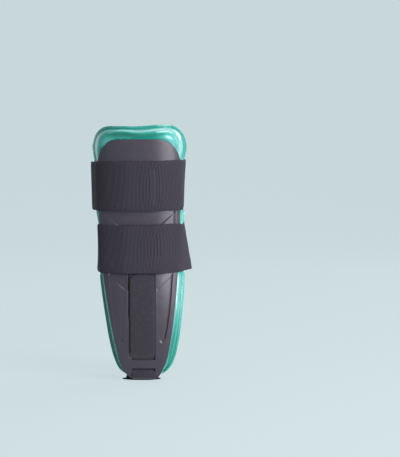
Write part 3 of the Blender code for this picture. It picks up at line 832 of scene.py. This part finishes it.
def curve_points(points, count):
    """A smooth run of points through control points, evenly sampled by parameter."""
    p = np.array(points, float)
    padded = np.concatenate([[2 * p[0] - p[1]], p, [2 * p[-1] - p[-2]]])
    made = []
    for i in range(len(p) - 1):
        a, b, c, d = padded[i:i + 4]
        for t in np.linspace(0, 1, count, endpoint=False):
            made.append(0.5 * (2 * b + (c - a) * t + (2 * a - 5 * b + 4 * c - d) * t * t
                               + (3 * b - a - 3 * c + d) * t**3))
    return np.array(made + [p[-1]])


def make_heel_webbing(side):
    """From the middle of the heel pad, up round the rim, in at the window and behind the bar to the slot."""

    def beside(z, offset):
        return float(depth_at(STRAP_CENTRE, z)) + offset, z

    under_heel = [(0.0, 2.15), (12.0, 2.15), (24.0, 2.15), (31.5, 2.2), (34.9, 3.0)]
    round_rim = [beside(5.4, -0.15), beside(8.0, -0.35), beside(10.6, -1.7)]
    behind_bar = [beside(13.4, -3.85), beside(17.0, -3.9), beside(20.2, -3.8)]
    into_slot = [beside(22.6, -3.0), beside(24.0, -2.2)]
    line = curve_points(under_heel + round_rim + behind_bar + into_slot, 8)
    ahead = np.gradient(line, axis=0)
    normal = np.stack([ahead[:, 1], -ahead[:, 0]], -1)
    normal /= np.linalg.norm(normal, axis=1, keepdims=True)
    share = np.linspace(-1, 1, 24)
    x = STRAP_CENTRE + share[None] * WEB_HALF_WIDTH * np.ones((len(line), 1))
    level = np.repeat(line[:, 1:2], len(share), 1)
    bend = ease(3.0, 7.0, level) * (depth_at(x, level) - depth_at(STRAP_CENTRE, level))

    def face(offset):
        shifted = line + normal * offset
        return np.stack([x, np.repeat(shifted[:, :1], len(share), 1) + bend,
                         np.repeat(shifted[:, 1:2], len(share), 1)], -1)

    length = np.concatenate([[0], np.cumsum(np.linalg.norm(np.diff(line, axis=0), axis=1))])
    name = WORD[side]
    flat = {"along": x, "up": np.repeat(length[:, None], len(share), 1)}
    webbing = sheet_body(f"{name}_heel_strap", face(WEB_HALF_THICK), face(-WEB_HALF_THICK), side, LOOP,
                         bulge=0.8, attributes=flat)
    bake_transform(webbing)
    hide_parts(f"{name}_heel_webbing", "heel_webbing_underfoot")
    return webbing


HEEL_CENTRE = -1.0


def rounded_plate(name, half_x, half_y, low, high, crown, material, waist=0.0):
    """A thin pad with round corners, puffed up by its crown and drawn in between its ends."""
    u, v = np.meshgrid(np.linspace(-1, 1, 49), np.linspace(-1, 1, 89))
    round_u = u * (1 - np.abs(v) ** 12 / 3.0) * (1 - waist * ease(0.92, 0.66, np.abs(v)))
    round_v = v * (1 - np.abs(u) ** 4 / 8.0)
    x, y = HEEL_CENTRE + round_u * half_x, round_v * half_y
    edge = np.minimum(1 - np.abs(u), 1 - np.abs(v))
    puff = crown * ease(0.0, 0.35, edge)
    top = np.stack([x, y, high - crown + puff], -1)
    base = np.stack([x, y, np.full_like(x, low)], -1)
    return sheet_body(name, top, base, MEDIAL, material, bulge=0.8, attributes={"along": x, "up": y})


def flipped(obj):
    obj.data.flip_normals()
    return obj


def make_heel():
    sole = flipped(rounded_plate("heel_sole_cover", 20.8, 31.6, 0.4, 1.35, 0.0, KNIT, 0.24))
    use(sole, "heel", "heel_cover", "heel_sole")
    pad = flipped(rounded_plate("heel_cushion_pad", 15.2, 28.6, 2.95, 4.6, 0.7, KNIT))
    use(pad, "heel", "heel_cover", "heel_cushion")


# Studio


WORLD_COLOUR, WORLD_STRENGTH = (0.93, 0.93, 0.99, 1.0), 0.27
FLOOR_GLOW, FLOOR_GLOW_STRENGTH = (0.82, 0.971, 1.0, 1.0), 0.66
FLOOR_FRONT, FLOOR_BACK, SWEEP, BACKDROP_TOP, FLOOR_HALF = -3.0, 1.6, 1.2, 4.0, 5.0
CAMERA_PLACE, CAMERA_AIM, LENS = (0.05978, -1.6, 0.24), (0.05978, 0.0, 0.1525), 122.7
LAMP_AIM = (0.0, 0.0, 0.13)
# Name, place, size, power and colour.
LAMPS = [
    ("key", (1.6, -1.4, 1.0), (0.7, 1.3), 22.0, (1.0, 0.98, 1.0)),
    ("strip", (0.80, -0.74, 0.40), (0.90, 0.80), 19.0, (1.0, 0.98, 1.0)),
    ("fill", (-1.6, -1.5, 0.9), (0.8, 1.2), 4.5, (0.97, 0.96, 1.0)),
    ("top", (0.1, -0.2, 2.0), (1.4, 1.4), 14.0, (1.0, 1.0, 1.0)),
    ("rim", (0.9, 1.2, 0.9), (0.6, 1.0), 8.0, (1.0, 1.0, 1.0)),
]


def make_floor():
    """A pale floor that sweeps up into the backdrop."""
    tint = Surface("backdrop", (0.05, 0.058, 0.06), 0.95, Specular_IOR_Level=0.1)
    tint.colours(tint.noise(0.6, 1.0), (0.047, 0.055, 0.057), (0.053, 0.061, 0.063))
    tint.shader.inputs["Emission Color"].default_value = FLOOR_GLOW
    tint.shader.inputs["Emission Strength"].default_value = FLOOR_GLOW_STRENGTH
    run = [(FLOOR_FRONT, 0.0), (FLOOR_BACK, 0.0)]
    run += [(FLOOR_BACK + SWEEP * math.sin(a), SWEEP - SWEEP * math.cos(a))
            for a in np.linspace(0, math.pi / 2, 24)[1:]]
    run += [(FLOOR_BACK + SWEEP, BACKDROP_TOP)]
    verts = [(x / MM, y / MM, z / MM) for y, z in run for x in (-FLOOR_HALF, FLOOR_HALF)]
    faces = [[2 * k, 2 * k + 1, 2 * k + 3, 2 * k + 2] for k in range(len(run) - 1)]
    finish_mesh("studio_floor", verts, faces, tint.material)


def aimed(obj, place, aim):
    obj.location = place
    obj.rotation_euler = (Vector(aim) - Vector(place)).to_track_quat("-Z", "Y").to_euler()
    bpy.context.scene.collection.objects.link(obj)
    return obj


def make_lamps():
    world = bpy.data.worlds.new("studio")
    world.use_nodes = True
    world.node_tree.nodes["Background"].inputs[0].default_value = WORLD_COLOUR
    world.node_tree.nodes["Background"].inputs[1].default_value = WORLD_STRENGTH
    bpy.context.scene.world = world
    for name, place, size, power, colour in LAMPS:
        data = bpy.data.lights.new(name, "AREA")
        data.shape = "RECTANGLE"
        data.size, data.size_y = size
        data.energy, data.color = power, colour
        aimed(bpy.data.objects.new(name, data), place, LAMP_AIM)


def make_camera():
    data = bpy.data.cameras.new("camera")
    data.sensor_width, data.lens = 36.0, LENS
    bpy.context.scene.camera = aimed(bpy.data.objects.new("camera", data), CAMERA_PLACE, CAMERA_AIM)
    bpy.context.scene.view_settings.view_transform = "Standard"


def finish_cad_nodes():
    """CAD nodes that stay in view keep their shape and take a finished material."""
    for node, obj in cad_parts.items():
        if obj.hide_render:
            continue
        for slot in obj.material_slots:
            slot.material = FASTENER


def main():
    make_floor()
    make_lamps()
    make_camera()
    for side in (LATERAL, MEDIAL):
        make_shell(side)
        make_pad(side)
        make_heel_tab(side)
        make_loop_patch(side)
        make_heel_webbing(side)
    make_bands()
    make_heel()
    finish_cad_nodes()


main()
